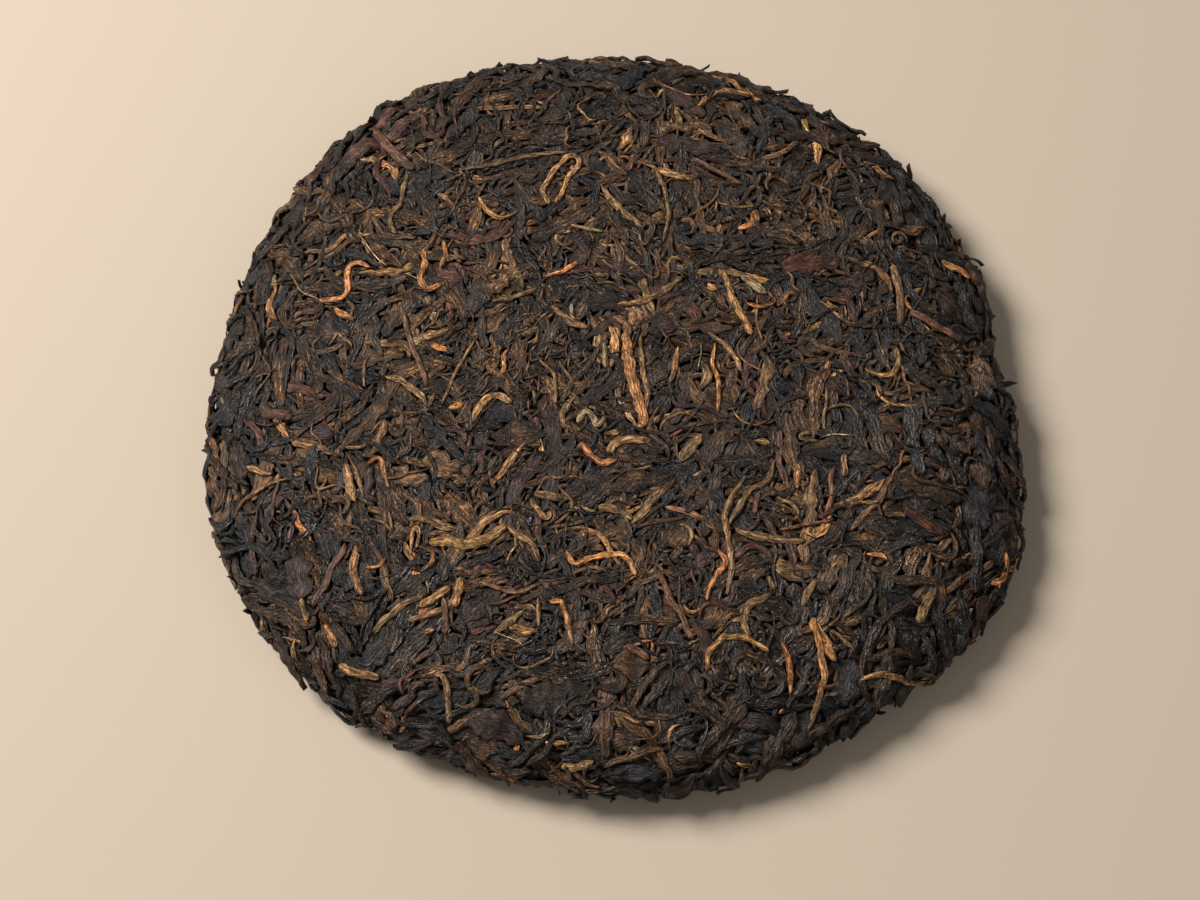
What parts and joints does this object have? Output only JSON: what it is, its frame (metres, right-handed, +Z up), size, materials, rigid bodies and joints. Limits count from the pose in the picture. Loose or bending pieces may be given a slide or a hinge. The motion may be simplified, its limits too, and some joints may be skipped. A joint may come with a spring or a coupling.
{
  "type": "pu erh tea cake",
  "caption": "Low domed disc of compressed dark tea leaf with a rounded ragged rim, scattered golden buds and a shallow dimple under its middle.",
  "frame": {"origin": "bottom centre: under the middle of the plan's box, on the surface the cake lies on", "axes": "+Z up out of the domed face, -Y towards the viewer of the picture, +X to that viewer's right"},
  "size_m": [0.1964, 0.1996, 0.0225],
  "materials": {
    "tea_leaf": "satin, pressed dry leaf, near black with brown and golden leaves"
  },
  "bodies": {
    "root": {"tea_cake": "tea_leaf"}
  },
  "joints": []
}
